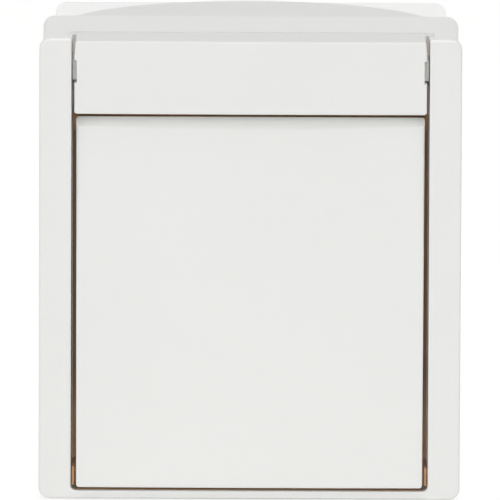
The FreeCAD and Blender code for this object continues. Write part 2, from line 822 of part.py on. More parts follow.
def build_screws():
    screw_set(
        "cover_screws", cover_screw_places, floor_front + S.seal_thickness,
        S.cover_screw_radius, S.cover_screw_length, S.cover_screw_head, S.cover_screw_head_height)
    screw_set(
        "insert_screws", insert_screw_places, insert_front,
        S.insert_screw_radius, S.cover_thickness + S.base_depth + S.insert_screw_reach,
        S.insert_screw_head, S.insert_screw_head_height)
    screw_set(
        "terminal_screws", clamp_places.values(), clamp_front,
        S.terminal_screw_radius, S.terminal_screw_length,
        S.terminal_screw_head, S.terminal_screw_head_height)
    seals = new_body("screw_seals")
    rings = add_sketch(seals, FRONT, floor_front)
    for x, z in cover_screw_places:
        circle(rings, x, z, S.seal_radius)
        circle(rings, x, z, S.cover_screw_radius + S.thread_clearance)
    pad(seals, rings, S.seal_thickness)


def build_rocker():
    body = new_body("rocker")
    top = well_half - S.rocker_side_gap_top
    bottom = well_half - S.rocker_side_gap_bottom
    panel = add_sketch(body, FRONT, rocker_rear)
    outline(panel, [
        (-bottom, -rocker_half, S.rocker_corner), (bottom, -rocker_half, S.rocker_corner),
        (top, rocker_half, S.rocker_corner), (-top, rocker_half, S.rocker_corner),
    ])
    pad(body, panel, S.rocker_depth)
    crown_cut(body, top, S.pivot_depth, S.rocker_crown)
    bevel = add_sketch(body, SIDE)
    bevel_low = rocker_half - S.rocker_bevel_height
    bevel_rear = S.rocker_bevel_depth - S.pivot_depth
    above = rocker_half + S.cut_margin
    ahead = -S.pivot_depth - S.cut_margin
    outline(bevel, [
        (-S.pivot_depth, bevel_low), (bevel_rear, rocker_half),
        (-rocker_rear, rocker_half - S.rocker_top_draft), (-rocker_rear, above),
        (ahead, above), (ahead, bevel_low),
    ], S.rocker_bevel_radius)
    pocket(body, bevel, S.frame_width, both=True)
    limit = (S.pivot_depth - S.rocker_crown).value
    round_edges(body, S.rocker_round, lambda point: -point.y > limit)
    hollow = add_sketch(body, FRONT, rocker_rear)
    outline(hollow, [
        (S.rocker_wall - bottom, S.rocker_wall - rocker_half),
        (bottom - S.rocker_wall, S.rocker_wall - rocker_half),
        (top - S.rocker_wall, rocker_half - S.rocker_wall),
        (S.rocker_wall - top, rocker_half - S.rocker_wall),
    ])
    pocket(body, hollow, panel_back - rocker_rear, ahead=True)
    uprights = add_sketch(body, FRONT, panel_back - S.rib_height)
    crossbars = add_sketch(body, FRONT, panel_back - S.rib_height)
    rib = S.rib_thickness / 2
    for side in SIDES:
        x = side * S.rib_spread
        reach = rocker_half - S.rib_thickness
        outline(uprights, rectangle(x - rib, x + rib, -reach, reach))
        outline(crossbars, rectangle(
            S.rib_thickness - bottom, bottom - S.rib_thickness, x - rib, x + rib))
    pad(body, uprights, S.rib_height)
    pad(body, crossbars, S.rib_height)
    collar = add_sketch(body, FRONT, panel_back - S.collar_height)
    fit_x = S.neck_half_width + S.collar_fit
    fit_z = S.neck_half_height + S.collar_fit
    outline(collar, centred(fit_x + S.collar_wall, fit_z + S.collar_wall))
    outline(collar, centred(fit_x, fit_z))
    pad(body, collar, S.collar_height)
    place(body, pivot_rise, pivot_z, angle=-S.half_tilt)


def build_rocker_carrier():
    body = new_body("rocker_carrier")
    block = add_sketch(body, FRONT, -S.carrier_back)
    outline(block, centred(S.carrier_half_width, S.carrier_half_height))
    pad(body, block, S.carrier_back + S.carrier_front)
    neck = add_sketch(body, FRONT, S.carrier_front)
    outline(neck, centred(S.neck_half_width, S.neck_half_height))
    pad(body, neck, panel_back - S.neck_end_gap - S.carrier_front)
    pins = add_sketch(body, SIDE)
    circle(pins, 0, 0, S.pin_radius)
    pad(body, pins, ear_outer * 2, both=True)
    sleeve = add_sketch(body, FRONT, -S.sleeve_end)
    circle(sleeve, 0, 0, S.sleeve_radius)
    pad(body, sleeve, S.sleeve_end - S.carrier_back)
    bore = add_sketch(body, FRONT, -S.sleeve_end)
    circle(bore, 0, 0, S.bore_radius)
    pocket(body, bore, S.sleeve_end - S.bore_end, ahead=True)
    place(body, pivot_rise, pivot_z, angle=-S.half_tilt)


def build_plunger():
    body = new_body("plunger")
    radius = S.bore_radius - S.plunger_clearance
    tip = S.seesaw_drop - S.sheet_thickness - S.plunger_gap
    profile = add_sketch(body, TOP)
    outline(profile, [
        (0, S.plunger_head), (radius, S.plunger_head), (radius, S.plunger_shoulder),
        (S.plunger_tip_radius * 2, S.plunger_shoulder),
        (S.plunger_tip_radius, tip - S.plunger_tip_radius / 3), (0, tip),
    ])
    revolve(body, profile)
    place(body, pivot_rise, pivot_z, angle=-S.half_tilt)


def build_detent_spring():
    body = new_body("detent_spring")
    section = add_sketch(body, TOP)
    first = S.bore_end + S.spring_wire + S.spring_end_gap
    outline(section, [
        (
            S.spring_radius + S.spring_wire * cosine(as_size(angle)),
            first + S.spring_wire * sine(as_size(angle)),
        )
        for angle in range(0, 360, 45)
    ])
    coil = body.newObject("PartDesign::AdditiveHelix", "Helix")
    coil.Profile = section
    coil.ReferenceAxis = (section, ["V_Axis"])
    coil.Mode = "pitch-height-angle"
    bind(coil, "Pitch", S.spring_pitch)
    bind(coil, "Height", S.plunger_head - S.spring_wire - S.spring_end_gap - first)
    place(body, pivot_rise, pivot_z, angle=-S.half_tilt)


def build_contact_seesaw():
    body = new_body("contact_seesaw")
    plate = add_sketch(body, FRONT)
    outline(plate, centred(S.seesaw_half_width, S.seesaw_half_length, S.seesaw_half_width / 4))
    pad(body, plate, S.sheet_thickness)
    place(body, seesaw_rise, pivot_z, angle=S.seesaw_half_tilt)
    rivets = new_body("moving_contact_rivets")
    heads = add_sketch(rivets, FRONT, -S.rivet_height)
    for side in SIDES:
        circle(heads, 0, side * S.contact_arm, S.rivet_radius)
    pad(rivets, heads, S.rivet_height)
    place(rivets, seesaw_rise, pivot_z, angle=S.seesaw_half_tilt)


def build_fixed_contacts():
    for side, label in zip(SIDES, ("lower_contact", "upper_contact")):
        body = new_body(label)
        sheet_sketch = add_sketch(body, FRONT, chamber_floor)
        outline(sheet_sketch, rectangle(
            -S.strip_half_width, S.strip_half_width,
            pivot_z + side * S.strip_inner_end, pivot_z + side * S.strip_outer_end))
        pad(body, sheet_sketch, S.sheet_thickness)
    rivets = new_body("fixed_contact_rivets")
    heads = add_sketch(rivets, FRONT, contact_front)
    for side in SIDES:
        circle(heads, 0, pivot_z + side * S.contact_arm, S.rivet_radius)
    pad(rivets, heads, S.rivet_height)

    common = new_body("common_terminal")
    half = S.strip_half_width
    shape = add_sketch(common, FRONT, chamber_floor)
    outline(shape, [
        (-half, pivot_z - half),
        (S.common_offset - half, pivot_z - half),
        (S.common_offset - half, pivot_z - S.strip_outer_end),
        (S.common_offset + half, pivot_z - S.strip_outer_end),
        (S.common_offset + half, pivot_z + half),
        (-half, pivot_z + half),
    ])
    pad(common, shape, S.sheet_thickness)
    knife = add_sketch(common, SIDE)
    edge = S.knife_gap - seesaw_rise
    outline(knife, [
        (-contact_front, pivot_z - S.knife_foot),
        (edge, pivot_z - S.knife_edge),
        (edge, pivot_z + S.knife_edge),
        (-contact_front, pivot_z + S.knife_foot),
    ])
    pad(common, knife, S.knife_half_width * 2, both=True)


def build_terminal_clamps():
    for label, (x, z) in clamp_places.items():
        body = new_body(label)
        block = add_sketch(body, FRONT)
        outline(block, centred(S.clamp_half_width, S.clamp_half_height))
        pad(body, block, S.clamp_depth)
        wire = add_sketch(body, TOP)
        circle(wire, 0, -S.wire_centre, S.wire_radius)
        pocket(body, wire, S.clamp_half_height * 2, both=True)
        thread = add_sketch(body, FRONT, S.clamp_depth)
        circle(thread, 0, 0, S.terminal_screw_radius + S.thread_clearance)
        pocket(body, thread, S.clamp_depth - S.wire_centre)
        place(body, contact_front, z, x)


def build_insert_base():
    body = new_body("insert_base")
    block = add_sketch(body, FRONT, base_back)
    outline(block, centred(S.insert_half_width, S.insert_half_height, S.insert_corner, pivot_z))
    pad(body, block, S.base_depth)
    depth = base_front - chamber_floor
    chamber = add_sketch(body, FRONT, base_front)
    outline(chamber, centred(S.chamber_half_width, S.chamber_half_height, None, pivot_z))
    pocket(body, chamber, depth)
    half = S.strip_half_width + S.channel_gap
    slot = add_sketch(body, FRONT, base_front)
    outline(slot, centred(half, S.insert_half_height + S.cut_margin, None, pivot_z))
    pocket(body, slot, depth)
    cross = add_sketch(body, FRONT, base_front)
    outline(cross, rectangle(
        -half, S.common_offset + half, pivot_z - half, pivot_z + half))
    pocket(body, cross, depth)
    leg = add_sketch(body, FRONT, base_front)
    outline(leg, rectangle(
        S.common_offset - half, S.common_offset + half,
        pivot_z - S.insert_half_height - S.cut_margin, pivot_z))
    pocket(body, leg, depth)
    pockets = add_sketch(body, FRONT, base_front)
    room = S.clamp_half_width + S.channel_gap
    reach = S.clamp_half_height + S.channel_gap
    for x, z in clamp_places.values():
        outline(pockets, rectangle(x - room, x + room, z - reach, z + reach))
    pocket(body, pockets, depth)
    holes = add_sketch(body, FRONT, base_front)
    for x, z in insert_screw_places:
        circle(holes, x, z, S.insert_screw_radius + S.screw_clearance)
    pocket(body, holes, S.base_depth)


def build_insert_cover():
    body = new_body("insert_cover")
    plate = add_sketch(body, FRONT, base_front)
    outline(plate, centred(S.insert_half_width, S.cover_half_height, S.insert_corner, pivot_z))
    pad(body, plate, S.cover_thickness)
    opening = add_sketch(body, FRONT, insert_front)
    gap = S.sleeve_radius + S.cover_opening_gap
    outline(opening, centred(gap, gap, None, pivot_z))
    pocket(body, opening, S.cover_thickness)
    holes = add_sketch(body, FRONT, insert_front)
    for x, z in insert_screw_places:
        circle(holes, x, z, S.insert_screw_radius + S.screw_clearance)
    pocket(body, holes, S.cover_thickness)
    for start in (ear_inner, -ear_outer):
        ear = add_sketch(body, SIDE, start)
        outline(ear, [
            (-insert_front, pivot_z - S.ear_foot),
            (-pivot_rise - S.ear_round, pivot_z - S.ear_foot, S.ear_round),
            (-pivot_rise - S.ear_round, pivot_z + S.ear_foot, S.ear_round),
            (-insert_front, pivot_z + S.ear_foot),
        ])
        pad(body, ear, S.ear_thickness)
    bearings = add_sketch(body, SIDE)
    circle(bearings, -pivot_rise, pivot_z, S.pin_radius + S.pin_clearance)
    pocket(body, bearings, ear_outer * 2, both=True)


build_cover_frame()
build_rear_box()
build_cable_grommets()
build_rim_gasket()
build_cover_strip()
build_sealing_diaphragm()
build_screws()
build_rocker()
build_rocker_carrier()
build_plunger()
build_detent_spring()
build_contact_seesaw()
build_fixed_contacts()
build_terminal_clamps()
build_insert_base()
build_insert_cover()
doc.recompute()

os.makedirs("parts", exist_ok=True)
for item in doc.Objects:
    if {"Invalid", "Error"} & set(item.State):
        raise RuntimeError(f"{item.Label} ({item.TypeId}) is in the state {item.State}")
for body in doc.findObjects("PartDesign::Body"):
    if body.Shape.isNull() or not body.Shape.isValid():
        raise RuntimeError(f"{body.Label} has no valid shape")
    body.Shape.exportStep(f"parts/{body.Label}.step")
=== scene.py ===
import logging
import math
from dataclasses import dataclass, replace
from enum import Enum

import bmesh
import bpy
from mathutils import Matrix, Vector


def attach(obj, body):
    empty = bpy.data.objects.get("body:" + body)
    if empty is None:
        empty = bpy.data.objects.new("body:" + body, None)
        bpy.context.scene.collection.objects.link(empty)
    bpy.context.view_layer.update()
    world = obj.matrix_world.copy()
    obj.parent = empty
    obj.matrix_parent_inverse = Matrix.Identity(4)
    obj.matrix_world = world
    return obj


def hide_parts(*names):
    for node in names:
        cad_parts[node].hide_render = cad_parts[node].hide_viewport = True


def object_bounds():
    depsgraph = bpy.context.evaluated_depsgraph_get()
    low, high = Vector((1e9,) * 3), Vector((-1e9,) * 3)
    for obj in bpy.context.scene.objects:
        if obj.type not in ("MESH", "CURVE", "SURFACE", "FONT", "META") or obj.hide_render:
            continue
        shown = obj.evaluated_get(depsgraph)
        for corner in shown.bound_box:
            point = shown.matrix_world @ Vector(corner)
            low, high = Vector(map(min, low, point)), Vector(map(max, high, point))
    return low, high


# Looks of the surface-mounted weatherproof rocker switch: finishes for the moulded pieces, and
# the turned, coiled and soft pieces in full detail. Sizes in the classes are millimetres, apart
# from the studio's places and distances, which are metres.
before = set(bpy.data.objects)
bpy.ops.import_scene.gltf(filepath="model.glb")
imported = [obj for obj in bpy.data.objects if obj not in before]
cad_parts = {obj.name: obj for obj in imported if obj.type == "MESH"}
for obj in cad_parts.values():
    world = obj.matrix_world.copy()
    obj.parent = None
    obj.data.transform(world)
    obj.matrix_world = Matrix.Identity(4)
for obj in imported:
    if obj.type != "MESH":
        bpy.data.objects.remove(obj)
CAD_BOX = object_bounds()
LOG = logging.getLogger("weatherproof_switch")
MM = 0.001
# Turn a piece drawn along its own axis Z so that it points to the front, or to the wall.
FACING = Matrix.Rotation(math.radians(90), 4, "X")
BACKING = Matrix.Rotation(math.radians(-90), 4, "X")
# Height of the axis on which the rocker and the contact seesaw tilt.
PIVOT_Z = -6.25
# Places of the cover screws, to the right and up.
COVER_SCREWS = [(x * 26.0, z * 32.8) for x in (-1, 1) for z in (-1, 1)]

# Edges that bend more than this stay crisp in the shading.
CRISP_ANGLE = math.radians(35)
# In a copy of a CAD node, points this close in metres are one, faces that bend less than the flat
# angle are one, and edges that bend more than the sharp angle are rounded.
MERGE_DISTANCE = 1e-6
FLAT_ANGLE = math.radians(1)
SHARP_ANGLE = math.radians(40)
# A corner's rounding takes at most this share of either side.
CORNER_SHARE = 0.45

# Steps of the turned and coiled pieces.
SHANK_SIDES = 32
HEAD_SIDES = 48
THREAD_STEPS = 24
THREAD_SIDES = 6
COIL_STEPS = 40
WIRE_SIDES = 12
RIVET_SIDES = 40
DOME_RINGS = 16
RING_STEPS = 64
RING_CORNER_STEPS = 5
GROMMET_STEPS = 96
GROMMET_CORNER_STEPS = 3
# Shares of a screw head's height: its straight rim, then its chamfered crown.
HEAD_RIM_SHARE = 0.6
CROWN_SHARE = 0.4
# Tree inputs that are counts, not lengths.
COUNTS = ("Turns",)

# The Mix node names several sockets alike, so its colour sockets go by number.
MIX_FACTOR = 0
MIX_FIRST = 6
MIX_SECOND = 7
MIX_RESULT = 2
# Noise settings of the clouds and the grain, and the span that most of the grain's values lie in.
CLOUD_DETAIL = 3.0
CLOUD_ROUGHNESS = 0.55
GRAIN_DETAIL = 2.0
GRAIN_ROUGHNESS = 0.6
GRAIN_LOW = 0.3
GRAIN_HIGH = 0.7


class Body(Enum):
    """The rigid bodies of the switch."""

    HOUSING = "housing"
    ROCKER = "rocker_assembly"
    CONTACT = "contact_arm"


class Slot(Enum):
    """The material slots of the pieces that are built here."""

    DIAPHRAGM = "diaphragm_rubber"
    SEAL = "seal_rubber"
    GROMMET = "grommet_rubber"
    SPRING = "spring_steel"
    SCREW = "screw_steel"
    BRASS = "contact_brass"
    SILVER = "contact_silver"


class Axis(Enum):
    """The axes along which a moulding changes its tone."""

    DEPTH = "Y"
    HEIGHT = "Z"


def linear(colour: str) -> tuple[float, float, float, float]:
    """Turn an sRGB hex colour into linear values.

    Args:
        colour: Six hex digits after a hash.

    Returns:
        Red, green, blue and an alpha of one.
    """
    parts = [int(colour[i:i + 2], 16) / 255 for i in (1, 3, 5)]
    curve = [c / 12.92 if c <= 0.04045 else ((c + 0.055) / 1.055) ** 2.4 for c in parts]
    return (curve[0], curve[1], curve[2], 1.0)


def add_node(tree: bpy.types.NodeTree, kind: str, inputs: dict[str | int, object] | None = None,
             **settings: object) -> bpy.types.Node:
    """Add a node, give it its settings and feed its inputs.

    Args:
        tree: The tree that gets the node.
        kind: The node's type name.
        inputs: Values or other nodes' outputs, by socket name or number.
        settings: Properties of the node itself.

    Returns:
        The new node.
    """
    node = tree.nodes.new(kind)
    for name, value in settings.items():
        setattr(node, name, value)
    for name, value in (inputs or {}).items():
        if isinstance(value, bpy.types.NodeSocket):
            tree.links.new(value, node.inputs[name])
        else:
            node.inputs[name].default_value = value
    return node


def per_metre(millimetres: float) -> float:
    """Give the texture scale at which one cell of a pattern is so many millimetres wide."""
    return 1 / (millimetres * MM)


@dataclass(frozen=True)
class PaintedEndShading:
    """Painted shade that greys a moulding, and painted light that pales one, towards one end or both,
    matched to the photograph.
    """

    axis: Axis
    start_mm: float
    end_mm: float
    share: float
    both_ends: bool = False

    def shade(self, tree: bpy.types.NodeTree, place: bpy.types.NodeSocket,
              colour: bpy.types.NodeSocket) -> bpy.types.NodeSocket:
        """Paint shade or light into a colour towards the end of the piece, or towards both its ends.

        Args:
            tree: The material's tree.
            place: Object coordinates.
            colour: The moulding's colour away from its ends.

        Returns:
            The socket of the shaded colour.
        """
        along = add_node(tree, "ShaderNodeSeparateXYZ", {"Vector": place}).outputs[self.axis.value]
        if self.both_ends:
            along = add_node(tree, "ShaderNodeMath", {0: along}, operation="ABSOLUTE").outputs["Value"]
        level = add_node(tree, "ShaderNodeMapRange", {
            "Value": along, "From Min": self.start_mm * MM, "From Max": self.end_mm * MM,
            "To Min": 1.0, "To Max": self.share}, interpolation_type="SMOOTHSTEP").outputs["Result"]
        return add_node(tree, "ShaderNodeVectorMath", {
            "Vector": colour, "Scale": level}, operation="SCALE").outputs["Vector"]


@dataclass(frozen=True)
class Finish:
    """A material named for what it is and how its surface was made."""

    name: str
    colour: str
    shade: str
    roughness: float
    roughness_spread: float
    grain_mm: float
    grain_depth_mm: float
    cloud_mm: float
    stretch: tuple[float, float, float] = (1.0, 1.0, 1.0)
    metallic: float = 0.0
    ior: float = 1.5
    sheen: float = 0.0
    # Painted shade or painted light towards a moulding's ends, where a finish has it.
    painted_end_shading: PaintedEndShading | None = None

    def material(self) -> bpy.types.Material:
        """Build the material once, or give back the one already built.

        Returns:
            A node material on Object coordinates.
        """
        if self.name in bpy.data.materials:
            return bpy.data.materials[self.name]
        material = bpy.data.materials.new(self.name)
        material.use_nodes = True
        tree = material.node_tree
        tree.nodes.clear()
        place = add_node(tree, "ShaderNodeTexCoord").outputs["Object"]
        along = add_node(tree, "ShaderNodeMapping", {"Vector": place, "Scale": self.stretch})
        cloud = add_node(tree, "ShaderNodeTexNoise", {
            "Vector": place, "Scale": per_metre(self.cloud_mm),
            "Detail": CLOUD_DETAIL, "Roughness": CLOUD_ROUGHNESS})
        grain = add_node(tree, "ShaderNodeTexNoise", {
            "Vector": along.outputs["Vector"], "Scale": per_metre(self.grain_mm),
            "Detail": GRAIN_DETAIL, "Roughness": GRAIN_ROUGHNESS})
        tone = add_node(tree, "ShaderNodeMix", {
            MIX_FACTOR: cloud.outputs["Fac"], MIX_FIRST: linear(self.colour),
            MIX_SECOND: linear(self.shade)}, data_type="RGBA")
        colour = tone.outputs[MIX_RESULT]
        # Painted shade and painted light towards the ends of some mouldings.
        if self.painted_end_shading:
            colour = self.painted_end_shading.shade(tree, place, colour)
        rough = add_node(tree, "ShaderNodeMapRange", {
            "Value": grain.outputs["Fac"], "From Min": GRAIN_LOW, "From Max": GRAIN_HIGH,
            "To Min": self.roughness - self.roughness_spread,
            "To Max": self.roughness + self.roughness_spread})
        bump = add_node(tree, "ShaderNodeBump", {
            "Height": grain.outputs["Fac"], "Strength": 1.0, "Distance": self.grain_depth_mm * MM})
        surface = add_node(tree, "ShaderNodeBsdfPrincipled", {
            "Base Color": colour, "Roughness": rough.outputs["Result"], "Normal": bump.outputs["Normal"],
            "Metallic": self.metallic, "IOR": self.ior, "Sheen Weight": self.sheen})
        add_node(tree, "ShaderNodeOutputMaterial", {"Surface": surface.outputs["BSDF"]})
        return material


# Polycarbonate moulded in a finely spark-eroded tool: a clean white with a soft, even gloss.
# The erosion grain is about 0.05 mm and is drawn at 0.3 mm so that it shows at all.
COVER_PLASTIC = Finish(
    "moulded_polycarbonate_white", "#eeeeec", "#ebebe9", roughness=0.42, roughness_spread=0.05,
    grain_mm=0.3, grain_depth_mm=0.004, cloud_mm=22.0, ior=1.58)
# Painted shade greys the frame's tongue and the strip's top edge a little, as the photograph shows them.
FRAME_PLASTIC_PAINTED_SHADE = replace(
    COVER_PLASTIC, name="moulded_polycarbonate_white_frame_painted_shade",
    painted_end_shading=PaintedEndShading(Axis.DEPTH, start_mm=-23.0, end_mm=-20.5, share=0.91))
STRIP_PLASTIC_PAINTED_SHADE = replace(
    COVER_PLASTIC, name="moulded_polycarbonate_white_strip_painted_shade",
    painted_end_shading=PaintedEndShading(Axis.HEIGHT, start_mm=40.1, end_mm=40.35, share=0.91))
# Polypropylene box: a brighter white with a waxier, glossier skin.
BOX_PLASTIC = Finish(
    "moulded_polypropylene_white", "#fdfdfc", "#fbfbf9", roughness=0.16, roughness_spread=0.04,
    grain_mm=0.4, grain_depth_mm=0.002, cloud_mm=18.0, ior=1.49)
# Brown thermoplastic elastomer: matt, with a faint dusty bloom. Its brown is painted shade that stands in
# for the warm shade deep in the gaps, and its paler ends are painted light, as in the photograph.
DIAPHRAGM_RUBBER_PAINTED_SHADE_AND_LIGHT = Finish(
    "moulded_elastomer_brown_painted_shade_and_light", "#b08862", "#a07855", roughness=0.75, roughness_spread=0.08,
    grain_mm=0.5, grain_depth_mm=0.02, cloud_mm=6.0, sheen=0.1,
    # Painted light: paler towards both ends.
    painted_end_shading=PaintedEndShading(Axis.HEIGHT, start_mm=18.0, end_mm=32.0, share=1.65, both_ends=True))
# Nitrile rubber: near black, matt, faintly mottled.
SEAL_RUBBER = Finish(
    "moulded_nitrile_black", "#2a2a2b", "#242425", roughness=0.7, roughness_spread=0.08,
    grain_mm=0.4, grain_depth_mm=0.015, cloud_mm=5.0, ior=1.52, sheen=0.1)
# Grey elastomer membrane: matt and pale.
GROMMET_RUBBER = Finish(
    "moulded_elastomer_grey", "#c9c9c6", "#c0c0bd", roughness=0.68, roughness_spread=0.07,
    grain_mm=0.4, grain_depth_mm=0.012, cloud_mm=5.0, sheen=0.1)
# Glass-filled polyamide: dark grey with fibres that dull the gloss in streaks.
INSERT_PLASTIC = Finish(
    "moulded_glass_filled_polyamide", "#47484a", "#3b3c3e", roughness=0.55, roughness_spread=0.1,
    grain_mm=0.35, grain_depth_mm=0.012, cloud_mm=7.0, stretch=(1.0, 1.0, 0.3), ior=1.53)
# Acetal: pale grey, slippery and a little glossier than the cover.
CARRIER_PLASTIC = Finish(
    "moulded_acetal_grey", "#cfcfcb", "#c6c6c2", roughness=0.35, roughness_spread=0.05,
    grain_mm=0.3, grain_depth_mm=0.004, cloud_mm=9.0, ior=1.48)
# Zinc-plated steel: bright, with a faint cloudy passivation.
SCREW_STEEL = Finish(
    "zinc_plated_steel", "#c8cacc", "#b6babf", roughness=0.28, roughness_spread=0.08,
    grain_mm=0.25, grain_depth_mm=0.003, cloud_mm=2.0, metallic=1.0)
# Drawn spring wire: a grey steel, finely and evenly marked by the drawing die.
SPRING_STEEL = Finish(
    "drawn_spring_steel", "#a9aaab", "#96989a", roughness=0.3, roughness_spread=0.08,
    grain_mm=0.2, grain_depth_mm=0.002, cloud_mm=1.5, metallic=1.0)
# Rolled brass strip: warm yellow with rolling lines along the strip.
CONTACT_BRASS = Finish(
    "rolled_brass_strip", "#d8b76a", "#c7a353", roughness=0.3, roughness_spread=0.1,
    grain_mm=0.3, grain_depth_mm=0.003, cloud_mm=4.0, stretch=(1.0, 1.0, 0.08), metallic=1.0)
# Silver contact alloy: pale, soft lustre, slightly dulled by handling.
CONTACT_SILVER = Finish(
    "silver_contact_alloy", "#e6e3dc", "#d9d5cc", roughness=0.25, roughness_spread=0.08,
    grain_mm=0.2, grain_depth_mm=0.002, cloud_mm=1.5, metallic=1.0)

FINISHES = {
    Slot.DIAPHRAGM: DIAPHRAGM_RUBBER_PAINTED_SHADE_AND_LIGHT,
    Slot.SEAL: SEAL_RUBBER,
    Slot.GROMMET: GROMMET_RUBBER,
    Slot.SPRING: SPRING_STEEL,
    Slot.SCREW: SCREW_STEEL,
    Slot.BRASS: CONTACT_BRASS,
    Slot.SILVER: CONTACT_SILVER,
}


def dress_node(node: str, finish: Finish) -> None:
    """Give a rigid CAD node its finish.

    Args:
        node: The node's name.
        finish: The finish.
    """
    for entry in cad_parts[node].material_slots:
        entry.material = finish.material()
    LOG.info("%s takes the finish %s", node, finish.name)


def finish_piece(name: str, mesh: bpy.types.Mesh, body: Body, slot: Slot, nodes: list[str]) -> None:
    """Make a finished mesh a piece of the switch, at the origin and unturned.

    Args:
        name: The piece's name.
        mesh: Its mesh, already in the row frame.
        body: The body that carries it.
        slot: Its material slot.
        nodes: The CAD nodes that it stands for.
    """
    mesh.shade_smooth()
    mesh.set_sharp_from_angle(angle=CRISP_ANGLE)
    mesh.materials.clear()
    mesh.materials.append(FINISHES[slot].material())
    piece = bpy.data.objects.new(name, mesh)
    bpy.context.scene.collection.objects.link(piece)
    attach(piece, body.value)
    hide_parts(*nodes)
    LOG.info("%s has %d faces", name, len(mesh.polygons))


def add_input(tree: bpy.types.NodeTree, name: str, kind: str = "NodeSocketFloat") -> None:
    """Give a node tree one more named input."""
    tree.interface.new_socket(name=name, in_out="INPUT", socket_type=kind)


def new_tree(name: str, sizes: list[str]) -> tuple[bpy.types.NodeTree, bpy.types.Node]:
    """Start a geometry tree with seat points, named sizes and a finish as its inputs.

    Args:
        name: The tree's name.
        sizes: Names of its inputs for sizes.

    Returns:
        The tree and its group input node.
    """
    tree = bpy.data.node_groups.new(name, "GeometryNodeTree")
    add_input(tree, "Seats", "NodeSocketGeometry")
    for size in sizes:
        add_input(tree, size)
    add_input(tree, "Finish", "NodeSocketMaterial")
    tree.interface.new_socket(name="Pieces", in_out="OUTPUT", socket_type="NodeSocketGeometry")
    return tree, add_node(tree, "NodeGroupInput")


def end_tree(tree: bpy.types.NodeTree, given: bpy.types.Node, unit: bpy.types.NodeSocket) -> None:
    """End a tree: one unit on each seat, made real and given its finish.

    Args:
        tree: The tree.
        given: Its group input node.
        unit: The geometry of one unit.
    """
    spread = add_node(tree, "GeometryNodeInstanceOnPoints", {
        "Points": given.outputs["Seats"], "Instance": unit})
    real = add_node(tree, "GeometryNodeRealizeInstances", {"Geometry": spread.outputs["Instances"]})
    coat = add_node(tree, "GeometryNodeSetMaterial", {
        "Geometry": real.outputs["Geometry"], "Material": given.outputs["Finish"]})
    add_node(tree, "NodeGroupOutput", {"Pieces": coat.outputs["Geometry"]})


def maths(tree: bpy.types.NodeTree, operation: str, first: object, second: object) -> bpy.types.NodeSocket:
    """Combine two numbers or sockets in a tree and give the result's socket."""
    return add_node(tree, "ShaderNodeMath", {0: first, 1: second}, operation=operation).outputs[0]


def lift(tree: bpy.types.NodeTree, shape: bpy.types.NodeSocket, height: object) -> bpy.types.NodeSocket:
    """Move geometry in a tree along its own axis and give the result's socket."""
    offset = add_node(tree, "ShaderNodeCombineXYZ", {"Z": height}).outputs["Vector"]
    return add_node(tree, "GeometryNodeTransform", {
        "Geometry": shape, "Translation": offset}).outputs["Geometry"]


def join(tree: bpy.types.NodeTree, *shapes: bpy.types.NodeSocket) -> bpy.types.NodeSocket:
    """Join geometry in a tree.

    Args:
        tree: The tree.
        shapes: The sockets of the geometry to join.

    Returns:
        The socket of the joined geometry.
    """
    node = add_node(tree, "GeometryNodeJoinGeometry")
    for shape in shapes:
        tree.links.new(shape, node.inputs["Geometry"])
    return node.outputs["Geometry"]


